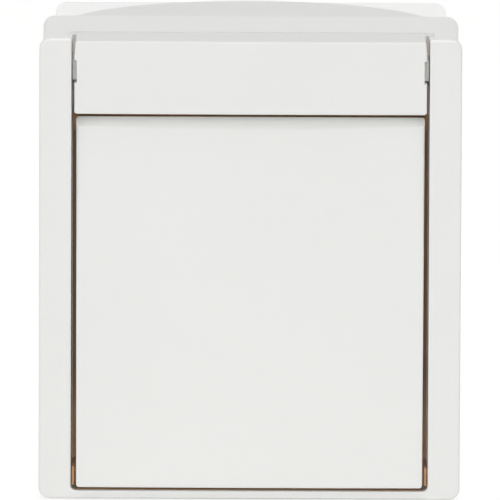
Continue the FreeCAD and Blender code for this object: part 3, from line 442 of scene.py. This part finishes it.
def screw_tree() -> bpy.types.NodeTree:
    """Build the tree of a cross-recessed screw with a rolled thread.

    Returns:
        The tree; a screw's seat is the underside of its head.
    """
    tree, given = new_tree("cross_recessed_screws", [
        "Shank Radius", "Shank Length", "Thread Pitch", "Thread Depth", "Head Radius", "Head Height",
        "Drive Width", "Drive Reach", "Drive Depth"])
    size = given.outputs
    core_radius = maths(tree, "SUBTRACT", size["Shank Radius"], size["Thread Depth"])
    core = add_node(tree, "GeometryNodeMeshCone", {
        "Vertices": SHANK_SIDES, "Radius Top": core_radius, "Radius Bottom": core_radius,
        "Depth": size["Shank Length"]})
    depth = maths(tree, "MULTIPLY", size["Shank Length"], -1.0)
    turns = maths(tree, "DIVIDE", size["Shank Length"], size["Thread Pitch"])
    helix = add_node(tree, "GeometryNodeCurveSpiral", {
        "Resolution": THREAD_STEPS, "Rotations": turns, "Start Radius": core_radius,
        "End Radius": core_radius, "Height": size["Shank Length"]})
    ridge = add_node(tree, "GeometryNodeCurvePrimitiveCircle", {
        "Resolution": THREAD_SIDES, "Radius": size["Thread Depth"]})
    thread = add_node(tree, "GeometryNodeCurveToMesh", {
        "Curve": helix.outputs["Curve"], "Profile Curve": ridge.outputs["Curve"], "Fill Caps": True})
    rim = maths(tree, "MULTIPLY", size["Head Height"], HEAD_RIM_SHARE)
    crown = maths(tree, "MULTIPLY", size["Head Height"], CROWN_SHARE)
    crown_radius = maths(tree, "SUBTRACT", size["Head Radius"], crown)
    lower = add_node(tree, "GeometryNodeMeshCone", {
        "Vertices": HEAD_SIDES, "Radius Top": size["Head Radius"], "Radius Bottom": size["Head Radius"],
        "Depth": rim})
    upper = add_node(tree, "GeometryNodeMeshCone", {
        "Vertices": HEAD_SIDES, "Radius Top": crown_radius, "Radius Bottom": size["Head Radius"],
        "Depth": crown})
    blank = add_node(tree, "GeometryNodeMeshBoolean", {
        "Mesh 2": lower.outputs["Mesh"]}, operation="UNION", solver="EXACT")
    tree.links.new(lift(tree, upper.outputs["Mesh"], rim), blank.inputs["Mesh 2"])
    span = maths(tree, "MULTIPLY", size["Drive Reach"], 2.0)
    deep = maths(tree, "MULTIPLY", size["Drive Depth"], 2.0)
    head = add_node(tree, "GeometryNodeMeshBoolean", {
        "Mesh 1": blank.outputs["Mesh"]}, operation="DIFFERENCE", solver="EXACT")
    for across, along in ((span, size["Drive Width"]), (size["Drive Width"], span)):
        extent = add_node(tree, "ShaderNodeCombineXYZ", {"X": across, "Y": along, "Z": deep})
        bar = add_node(tree, "GeometryNodeMeshCube", {"Size": extent.outputs["Vector"]})
        tree.links.new(lift(tree, bar.outputs["Mesh"], size["Head Height"]), head.inputs["Mesh 2"])
    shank = join(tree, lift(tree, core.outputs["Mesh"], depth), lift(tree, thread.outputs["Mesh"], depth))
    end_tree(tree, given, join(tree, shank, head.outputs["Mesh"]))
    return tree


def coil_tree() -> bpy.types.NodeTree:
    """Build the tree of a coil spring.

    Returns:
        The tree; a spring's seat is the start of its coil.
    """
    tree, given = new_tree("coil_spring", ["Coil Radius", "Wire Radius", "Height", "Turns"])
    size = given.outputs
    helix = add_node(tree, "GeometryNodeCurveSpiral", {
        "Resolution": COIL_STEPS, "Rotations": size["Turns"], "Start Radius": size["Coil Radius"],
        "End Radius": size["Coil Radius"], "Height": size["Height"]})
    wire = add_node(tree, "GeometryNodeCurvePrimitiveCircle", {
        "Resolution": WIRE_SIDES, "Radius": size["Wire Radius"]})
    coil = add_node(tree, "GeometryNodeCurveToMesh", {
        "Curve": helix.outputs["Curve"], "Profile Curve": wire.outputs["Curve"], "Fill Caps": True})
    end_tree(tree, given, coil.outputs["Mesh"])
    return tree


def rivet_tree() -> bpy.types.NodeTree:
    """Build the tree of a contact rivet with a domed face.

    Returns:
        The tree; a rivet's seat is the foot of its head.
    """
    tree, given = new_tree("contact_rivets", ["Head Radius", "Head Height", "Dome Height", "Shoulder"])
    size = given.outputs
    rim = maths(tree, "SUBTRACT", size["Head Height"], size["Dome Height"])
    foot = add_node(tree, "GeometryNodeMeshCone", {
        "Vertices": RIVET_SIDES, "Radius Top": size["Head Radius"], "Radius Bottom": size["Head Radius"],
        "Depth": rim})
    ball = add_node(tree, "GeometryNodeMeshUVSphere", {
        "Segments": RIVET_SIDES, "Rings": DOME_RINGS, "Radius": 1.0})
    dome_radius = maths(tree, "SUBTRACT", size["Head Radius"], size["Shoulder"])
    sunk = maths(tree, "SUBTRACT", rim, maths(tree, "MULTIPLY", size["Shoulder"], 0.5))
    extent = add_node(tree, "ShaderNodeCombineXYZ", {
        "X": dome_radius, "Y": dome_radius, "Z": size["Dome Height"]}).outputs["Vector"]
    dome = add_node(tree, "GeometryNodeTransform", {"Geometry": ball.outputs["Mesh"], "Scale": extent})
    rivet = add_node(tree, "GeometryNodeMeshBoolean", {
        "Mesh 2": foot.outputs["Mesh"]}, operation="UNION", solver="EXACT")
    tree.links.new(lift(tree, dome.outputs["Geometry"], sunk), rivet.inputs["Mesh 2"])
    end_tree(tree, given, rivet.outputs["Mesh"])
    return tree


def ring_tree() -> bpy.types.NodeTree:
    """Build the tree of a sealing ring with a rounded section.

    Returns:
        The tree; a ring's seat is the middle of its foot.
    """
    tree, given = new_tree("sealing_rings", ["Middle Radius", "Section Width", "Section Height", "Rounding"])
    size = given.outputs
    path = add_node(tree, "GeometryNodeCurvePrimitiveCircle", {
        "Resolution": RING_STEPS, "Radius": size["Middle Radius"]})
    section = add_node(tree, "GeometryNodeCurvePrimitiveQuadrilateral", {
        "Width": size["Section Width"], "Height": size["Section Height"]})
    soft = add_node(tree, "GeometryNodeFilletCurve", {
        "Curve": section.outputs["Curve"], "Radius": size["Rounding"],
        "Count": RING_CORNER_STEPS}, mode="POLY")
    ring = add_node(tree, "GeometryNodeCurveToMesh", {
        "Curve": path.outputs["Curve"], "Profile Curve": soft.outputs["Curve"]})
    half = maths(tree, "MULTIPLY", size["Section Height"], 0.5)
    end_tree(tree, given, lift(tree, ring.outputs["Mesh"], half))
    return tree


def grow(tree: bpy.types.NodeTree, seats: list[tuple[float, float, float]], sizes: dict[str, float],
         slot: Slot, turn: Matrix) -> bpy.types.Mesh:
    """Run a geometry tree on its seats and turn the result into a plain mesh in the row frame.

    Args:
        tree: The tree.
        seats: Where the units sit, in millimetres, before the turn.
        sizes: The tree's sizes by name, in millimetres, apart from counts.
        slot: The material slot that gives the finish.
        turn: The matrix that takes the units to the row frame.

    Returns:
        The mesh.
    """
    points = bpy.data.meshes.new(f"{tree.name}_seats")
    points.from_pydata([Vector(seat) * MM for seat in seats], [], [])
    holder = bpy.data.objects.new(f"{tree.name}_seats", points)
    bpy.context.scene.collection.objects.link(holder)
    modifier = holder.modifiers.new("Grow", "NODES")
    modifier.node_group = tree
    for socket in tree.interface.items_tree:
        if socket.name in sizes:
            scale = 1.0 if socket.name in COUNTS else MM
            modifier[socket.identifier] = sizes[socket.name] * scale
        if socket.name == "Finish":
            modifier[socket.identifier] = FINISHES[slot].material()
    holder.update_tag()
    graph = bpy.context.evaluated_depsgraph_get()
    mesh = bpy.data.meshes.new_from_object(holder.evaluated_get(graph), depsgraph=graph)
    holder.modifiers.remove(modifier)
    bpy.data.objects.remove(holder)
    mesh.transform(turn)
    return mesh


def leaning(rise: float, tilt: float) -> Matrix:
    """Give the matrix of a tilting piece at rest.

    Args:
        rise: How far its axis stands off the wall, in millimetres.
        tilt: Its angle at rest, in degrees.

    Returns:
        The matrix that takes it from its axis to the row frame.
    """
    pivot = Vector((0, -rise, PIVOT_Z)) * MM
    return Matrix.Translation(pivot) @ Matrix.Rotation(math.radians(tilt), 4, "X")


def softened_copy(node: str, width: float, segments: int) -> bpy.types.Mesh:
    """Copy a CAD node's mesh with its sharp edges rounded.

    Args:
        node: The node to copy.
        width: The rounding in millimetres.
        segments: Faces across the rounding.

    Returns:
        The rounded mesh.
    """
    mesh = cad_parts[node].data.copy()
    shape = bmesh.new()
    shape.from_mesh(mesh)
    bmesh.ops.remove_doubles(shape, verts=shape.verts, dist=MERGE_DISTANCE)
    bmesh.ops.dissolve_limit(shape, angle_limit=FLAT_ANGLE, verts=shape.verts, edges=shape.edges)
    sharp = [edge for edge in shape.edges if edge.is_manifold and edge.calc_face_angle() > SHARP_ANGLE]
    bmesh.ops.bevel(
        shape, geom=sharp, offset=width * MM, offset_type="OFFSET", segments=segments, profile=0.5,
        affect="EDGES", clamp_overlap=True)
    shape.to_mesh(mesh)
    shape.free()
    return mesh


def lathe(profile: list[tuple[float, float]], segments: int) -> bpy.types.Mesh:
    """Turn a profile about its axis.

    Args:
        profile: Radius and height of each point in millimetres, with both ends on the axis.
        segments: Steps round the axis.

    Returns:
        A closed mesh about the axis Z.
    """
    shape = bmesh.new()
    angles = [2 * math.pi * step / segments for step in range(segments)]
    rows = []
    for radius, height in profile:
        if radius == 0:
            rows.append([shape.verts.new((0, 0, height * MM))])
            continue
        rows.append([
            shape.verts.new((radius * MM * math.cos(angle), radius * MM * math.sin(angle), height * MM))
            for angle in angles])
    for lower, upper in zip(rows, rows[1:]):
        for step in range(segments):
            ahead = (step + 1) % segments
            if len(lower) == 1:
                shape.faces.new((lower[0], upper[ahead], upper[step]))
            elif len(upper) == 1:
                shape.faces.new((lower[step], lower[ahead], upper[0]))
            else:
                shape.faces.new((lower[step], lower[ahead], upper[ahead], upper[step]))
    bmesh.ops.recalc_face_normals(shape, faces=shape.faces)
    mesh = bpy.data.meshes.new("turned")
    shape.to_mesh(mesh)
    shape.free()
    return mesh


def rounded(profile: list[tuple[float, float]], radius: float, steps: int) -> list[tuple[float, float]]:
    """Round the inner corners of an open profile.

    Args:
        profile: The corner points.
        radius: The wanted rounding, cut down where a corner has less room.
        steps: Points along each rounding.

    Returns:
        The rounded profile.
    """
    points = [Vector(point) for point in profile]
    result = [points[0]]
    for before, corner, after in zip(points, points[1:], points[2:]):
        room = min((before - corner).length * CORNER_SHARE, (after - corner).length * CORNER_SHARE)
        reach = min(radius, room)
        start = corner + (before - corner).normalized() * reach
        end = corner + (after - corner).normalized() * reach
        for step in range(steps + 1):
            part = step / steps
            result.append(start.lerp(corner, part).lerp(corner.lerp(end, part), part))
    result.append(points[-1])
    return [(point.x, point.y) for point in result]


@dataclass
class OuterMouldings:
    """The white mouldings that show: cover frame, cover strip, rocker and rear box."""

    def dress(self) -> None:
        """Give the mouldings their plastics."""
        # The frame and the strip carry painted shade on the tongue and the top edge.
        dress_node("cover_frame", FRAME_PLASTIC_PAINTED_SHADE)
        dress_node("cover_strip", STRIP_PLASTIC_PAINTED_SHADE)
        dress_node("rocker", COVER_PLASTIC)
        dress_node("rear_box", BOX_PLASTIC)


@dataclass
class Seals:
    """The soft pieces that keep water out."""

    edge_rounding: float = 0.25
    edge_steps: int = 3
    floor_rise: float = 39.5
    ring_outer: float = 3.0
    ring_inner: float = 1.6
    ring_height: float = 1.0
    ring_rounding: float = 0.3
    entry_x: float = 11.0
    entry_rise: float = 11.0
    entry_z: float = -39.9
    flange_radius: float = 8.2
    plate: float = 0.9
    step: float = 0.3
    dimple_radius: float = 0.9
    dimple_depth: float = 0.35
    gap: float = 0.1
    neck_radius: float = 6.9
    wall: float = 2.5
    lip: float = 0.7
    lip_taper: float = 0.2
    lip_height: float = 0.8
    sleeve_wall: float = 1.3
    grommet_rounding: float = 0.22

    def build_diaphragm(self) -> None:
        """Round the moulded edges of the sealing diaphragm."""
        mesh = softened_copy("sealing_diaphragm", self.edge_rounding, self.edge_steps)
        finish_piece("diaphragm", mesh, Body.HOUSING, Slot.DIAPHRAGM, ["sealing_diaphragm"])

    def build_gasket(self) -> None:
        """Round the moulded edges of the rim gasket."""
        mesh = softened_copy("rim_gasket", self.edge_rounding, self.edge_steps)
        finish_piece("gasket", mesh, Body.HOUSING, Slot.SEAL, ["rim_gasket"])

    def build_rings(self) -> None:
        """Seat a sealing ring under each cover screw."""
        seats = [(x, z, self.floor_rise) for x, z in COVER_SCREWS]
        sizes = {
            "Middle Radius": (self.ring_outer + self.ring_inner) / 2,
            "Section Width": self.ring_outer - self.ring_inner,
            "Section Height": self.ring_height,
            "Rounding": self.ring_rounding,
        }
        mesh = grow(ring_tree(), seats, sizes, Slot.SEAL, FACING)
        finish_piece("screw_rings", mesh, Body.HOUSING, Slot.SEAL, ["screw_seals"])

    def grommet_profile(self) -> list[tuple[float, float]]:
        """Draw the profile of a grommet, from the stepped membrane below to the sleeve's floor.

        Returns:
            Radius and height of each point.
        """
        base = -self.plate
        inner = self.neck_radius - self.sleeve_wall
        top = self.wall + self.gap
        third = self.flange_radius / 3
        corners = [
            (0, base + 2 * self.step + self.dimple_depth),
            (self.dimple_radius, base + 2 * self.step),
            (third, base + 2 * self.step),
            (third, base + self.step),
            (2 * third, base + self.step),
            (2 * third, base),
            (self.flange_radius, base),
            (self.flange_radius, -self.gap),
            (self.neck_radius, -self.gap),
            (self.neck_radius, top),
            (self.neck_radius + self.lip, top),
            (self.neck_radius + self.lip - self.lip_taper, top + self.lip_height),
            (inner, top + self.lip_height),
            (inner, self.plate),
            (0, self.plate),
        ]
        return rounded(corners, self.grommet_rounding, GROMMET_CORNER_STEPS)

    def build_grommets(self) -> None:
        """Turn the two closed cable grommets."""
        for side, name in ((-1, "left"), (1, "right")):
            mesh = lathe(self.grommet_profile(), GROMMET_STEPS)
            place = Vector((side * self.entry_x, -self.entry_rise, self.entry_z)) * MM
            mesh.transform(Matrix.Translation(place))
            finish_piece(f"grommet_{name}", mesh, Body.HOUSING, Slot.GROMMET, [f"cable_grommet_{name}"])

    def build(self) -> None:
        """Build every seal."""
        self.build_diaphragm()
        self.build_gasket()
        self.build_rings()
        self.build_grommets()


@dataclass
class ScrewSeries:
    """One series of like screws."""

    name: str
    node: str
    seats: list[tuple[float, float, float]]
    shank_radius: float
    shank_length: float
    pitch: float
    thread_depth: float
    head_radius: float
    head_height: float
    drive_width: float = 0.8
    drive_share: float = 0.62
    drive_depth: float = 1.1

    def build(self, tree: bpy.types.NodeTree) -> None:
        """Grow the screws on their seats.

        Args:
            tree: The screw tree.
        """
        sizes = {
            "Shank Radius": self.shank_radius,
            "Shank Length": self.shank_length,
            "Thread Pitch": self.pitch,
            "Thread Depth": self.thread_depth,
            "Head Radius": self.head_radius,
            "Head Height": self.head_height,
            "Drive Width": self.drive_width,
            "Drive Reach": self.head_radius * self.drive_share,
            "Drive Depth": self.drive_depth,
        }
        mesh = grow(tree, self.seats, sizes, Slot.SCREW, FACING)
        finish_piece(self.name, mesh, Body.HOUSING, Slot.SCREW, [self.node])


@dataclass
class Fasteners:
    """Cover, insert and terminal screws."""

    cover_seat: float = 40.5
    insert_seat: float = 34.5
    insert_x: float = 18.5
    clamp_seat: float = 30.482
    clamp_places: tuple[tuple[float, float], ...] = ((0.0, 18.0), (0.0, -18.0), (11.0, -18.0))

    def series(self) -> list[ScrewSeries]:
        """List the three series of screws.

        Returns:
            Cover, insert and terminal screws.
        """
        corners = [(x, z, self.cover_seat) for x, z in COVER_SCREWS]
        sides = [(side * self.insert_x, PIVOT_Z, self.insert_seat) for side in (-1, 1)]
        clamps = [(x, PIVOT_Z + z, self.clamp_seat) for x, z in self.clamp_places]
        return [
            ScrewSeries(
                "cover_fixings", "cover_screws", corners, shank_radius=1.55, shank_length=15.0,
                pitch=1.0, thread_depth=0.3, head_radius=2.8, head_height=2.0),
            ScrewSeries(
                "insert_fixings", "insert_screws", sides, shank_radius=1.5, shank_length=25.5,
                pitch=1.0, thread_depth=0.28, head_radius=2.9, head_height=1.8),
            ScrewSeries(
                "terminal_fixings", "terminal_screws", clamps, shank_radius=1.2, shank_length=3.6,
                pitch=0.5, thread_depth=0.16, head_radius=2.0, head_height=1.2, drive_depth=0.8),
        ]

    def build(self) -> None:
        """Grow every series from one tree."""
        tree = screw_tree()
        for series in self.series():
            series.build(tree)


@dataclass
class RockerMechanism:
    """Carrier, plunger and detent spring behind the rocker."""

    pivot_rise: float = 43.0
    tilt: float = -1.9
    coil_start: float = 3.3
    coil_end: float = 6.7
    coil_radius: float = 1.5
    wire_radius: float = 0.25
    pitch: float = 0.9

    def dress(self) -> None:
        """Give the carrier and the plunger their plastic."""
        for node in ("rocker_carrier", "plunger"):
            dress_node(node, CARRIER_PLASTIC)

    def build_spring(self) -> None:
        """Coil the detent spring behind the pivot."""
        height = self.coil_end - self.coil_start
        sizes = {
            "Coil Radius": self.coil_radius,
            "Wire Radius": self.wire_radius,
            "Height": height,
            "Turns": height / self.pitch,
        }
        turn = leaning(self.pivot_rise, self.tilt) @ BACKING
        mesh = grow(coil_tree(), [(0, 0, self.coil_start)], sizes, Slot.SPRING, turn)
        finish_piece("detent_coil", mesh, Body.ROCKER, Slot.SPRING, ["detent_spring"])


@dataclass
class ContactInsert:
    """The switching insert: mouldings, strips, clamps, seesaw and rivets."""

    seesaw_rise: float = 26.0
    seesaw_tilt: float = 8.55
    rivet_arm: float = 9.3
    rivet_radius: float = 1.3
    rivet_height: float = 0.7
    dome: float = 0.25
    shoulder: float = 0.08
    strip_front: float = 22.982
    punched_edge: float = 0.12
    punched_steps: int = 2
    mouldings: tuple[str, ...] = ("insert_base", "insert_cover")
    clamps: tuple[str, ...] = ("terminal_clamp_upper", "terminal_clamp_lower", "terminal_clamp_common")
    stampings: tuple[tuple[str, str, Body], ...] = (
        ("common_stamping", "common_terminal", Body.HOUSING),
        ("upper_stamping", "upper_contact", Body.HOUSING),
        ("lower_stamping", "lower_contact", Body.HOUSING),
        ("seesaw_stamping", "contact_seesaw", Body.CONTACT),
    )

    def dress(self) -> None:
        """Give mouldings and clamps their finishes."""
        for node in self.mouldings:
            dress_node(node, INSERT_PLASTIC)
        for node in self.clamps:
            dress_node(node, CONTACT_BRASS)

    def build_stampings(self) -> None:
        """Round the edges of the brass strips, as punching and tumbling leave them."""
        for name, node, body in self.stampings:
            mesh = softened_copy(node, self.punched_edge, self.punched_steps)
            finish_piece(name, mesh, body, Slot.BRASS, [node])

    def build_rivets(self) -> None:
        """Grow the fixed rivets on the strips and the moving ones on the seesaw."""
        tree = rivet_tree()
        sizes = {
            "Head Radius": self.rivet_radius,
            "Head Height": self.rivet_height,
            "Dome Height": self.dome,
            "Shoulder": self.shoulder,
        }
        seats = [(0, PIVOT_Z + side * self.rivet_arm, self.strip_front) for side in (-1, 1)]
        fixed = grow(tree, seats, sizes, Slot.SILVER, FACING)
        finish_piece("fixed_rivets", fixed, Body.HOUSING, Slot.SILVER, ["fixed_contact_rivets"])
        seats = [(0, side * self.rivet_arm, 0) for side in (-1, 1)]
        turn = leaning(self.seesaw_rise, self.seesaw_tilt) @ BACKING
        moving = grow(tree, seats, sizes, Slot.SILVER, turn)
        finish_piece("moving_rivets", moving, Body.CONTACT, Slot.SILVER, ["moving_contact_rivets"])


@dataclass(frozen=True)
class Lamp:
    """A square area lamp that points at the switch."""

    name: str
    place: tuple[float, float, float]
    size: float
    power: float

    def hang(self, target: Vector) -> None:
        """Add the lamp to the scene.

        Args:
            target: The point that it faces.
        """
        lamp = bpy.data.lights.new(self.name, "AREA")
        lamp.shape = "SQUARE"
        lamp.size = self.size
        lamp.energy = self.power
        holder = bpy.data.objects.new(self.name, lamp)
        aim = (target - Vector(self.place)).to_track_quat("-Z", "Y").to_matrix().to_4x4()
        holder.matrix_world = Matrix.Translation(self.place) @ aim
        bpy.context.scene.collection.objects.link(holder)


@dataclass
class Studio:
    """Floor, soft light and the camera."""

    target: tuple[float, float, float] = (0.0, -0.051, 0.00355)
    distance: float = 2.5
    elevation: float = 9.5
    roll: float = 0.24
    lens: float = 1027.0
    sensor: float = 36.0
    clip_end: float = 50.0
    ambient: float = 0.29
    white: str = "#ffffff"
    floor_half: float = 3.0
    floor_gap: float = 0.0002
    floor_colour: str = "#f4f4f3"
    floor_seen_colour: str = "#a6a6a5"
    floor_glow: float = 0.745
    lamps: tuple[Lamp, ...] = (
        Lamp("front_light", (0.0, -2.55, 0.6), size=0.12, power=11.8),
        Lamp("softbox", (0.0, -1.3, 1.3), size=0.6, power=1.6),
        Lamp("top_light", (0.05, -0.15, 1.8), size=1.2, power=13.8),
        Lamp("left_fill", (-1.8, -1.2, 0.3), size=0.8, power=9.0),
        Lamp("right_fill", (1.8, -1.2, 0.3), size=0.8, power=7.0),
    )

    def build_camera(self) -> None:
        """Set the camera at the viewing angle, far off with a long lens."""
        camera = bpy.data.cameras.new("camera")
        camera.lens = self.lens
        camera.sensor_width = self.sensor
        camera.clip_end = self.clip_end
        holder = bpy.data.objects.new("camera", camera)
        rise = math.radians(self.elevation)
        away = Vector((0, -math.cos(rise), math.sin(rise))) * self.distance
        tip = Matrix.Rotation(math.radians(90) - rise, 4, "X")
        turn = tip @ Matrix.Rotation(math.radians(self.roll), 4, "Z")
        holder.matrix_world = Matrix.Translation(Vector(self.target) + away) @ turn
        bpy.context.scene.collection.objects.link(holder)
        bpy.context.scene.camera = holder

    def seen(self, tree: bpy.types.NodeTree) -> bpy.types.NodeSocket:
        """Tell the rays that show the background from those that only light.

        Args:
            tree: The tree that asks.

        Returns:
            A socket that is one for camera, glossy and transmission rays.
        """
        path = add_node(tree, "ShaderNodeLightPath").outputs
        both = maths(tree, "MAXIMUM", path["Is Camera Ray"], path["Is Glossy Ray"])
        return maths(tree, "MAXIMUM", both, path["Is Transmission Ray"])

    def build_world(self) -> None:
        """Make a white surround that lights softly from everywhere."""
        world = bpy.data.worlds.new("surround")
        bpy.context.scene.world = world
        world.use_nodes = True
        tree = world.node_tree
        tree.nodes.clear()
        level = add_node(tree, "ShaderNodeMapRange", {
            "Value": self.seen(tree), "To Min": self.ambient, "To Max": 1.0}).outputs["Result"]
        glow = add_node(tree, "ShaderNodeBackground", {"Color": linear(self.white), "Strength": level})
        add_node(tree, "ShaderNodeOutputWorld", {"Surface": glow.outputs["Background"]})

    def build_floor(self) -> None:
        """Lay a plain pale floor that is white to the eye where it is lit, and keeps the shadow."""
        low = CAD_BOX[0][2] - self.floor_gap
        square = ((-1, -1), (1, -1), (1, 1), (-1, 1))
        corners = [(x * self.floor_half, y * self.floor_half, low) for x, y in square]
        mesh = bpy.data.meshes.new("floor")
        mesh.from_pydata(corners, [], [(0, 1, 2, 3)])
        material = bpy.data.materials.new("matt_white_floor")
        material.use_nodes = True
        tree = material.node_tree
        tree.nodes.clear()
        matt = add_node(tree, "ShaderNodeBsdfDiffuse", {"Color": linear(self.floor_colour)})
        lit = add_node(tree, "ShaderNodeBsdfDiffuse", {"Color": linear(self.floor_seen_colour)})
        glow = add_node(tree, "ShaderNodeEmission", {
            "Color": linear(self.white), "Strength": self.floor_glow})
        bright = add_node(tree, "ShaderNodeAddShader", {0: lit.outputs["BSDF"], 1: glow.outputs["Emission"]})
        mix = add_node(tree, "ShaderNodeMixShader", {
            0: self.seen(tree), 1: matt.outputs["BSDF"], 2: bright.outputs["Shader"]})
        add_node(tree, "ShaderNodeOutputMaterial", {"Surface": mix.outputs["Shader"]})
        mesh.materials.append(material)
        floor = bpy.data.objects.new("floor", mesh)
        bpy.context.scene.collection.objects.link(floor)

    def build_lights(self) -> None:
        """Hang a small lamp in front, which reaches into the gaps, and soft ones above and beside it."""
        for lamp in self.lamps:
            lamp.hang(Vector(self.target))

    def build(self) -> None:
        """Set up the whole studio with plain colour handling."""
        bpy.context.scene.view_settings.view_transform = "Standard"
        self.build_camera()
        self.build_world()
        self.build_floor()
        self.build_lights()


def main() -> None:
    """Build and dress the switch, then its studio."""
    logging.basicConfig(level=logging.INFO, format="%(name)s: %(message)s")
    OuterMouldings().dress()
    Seals().build()
    Fasteners().build()
    mechanism = RockerMechanism()
    mechanism.dress()
    mechanism.build_spring()
    insert = ContactInsert()
    insert.dress()
    insert.build_stampings()
    insert.build_rivets()
    Studio().build()


if __name__ == "__main__":
    main()
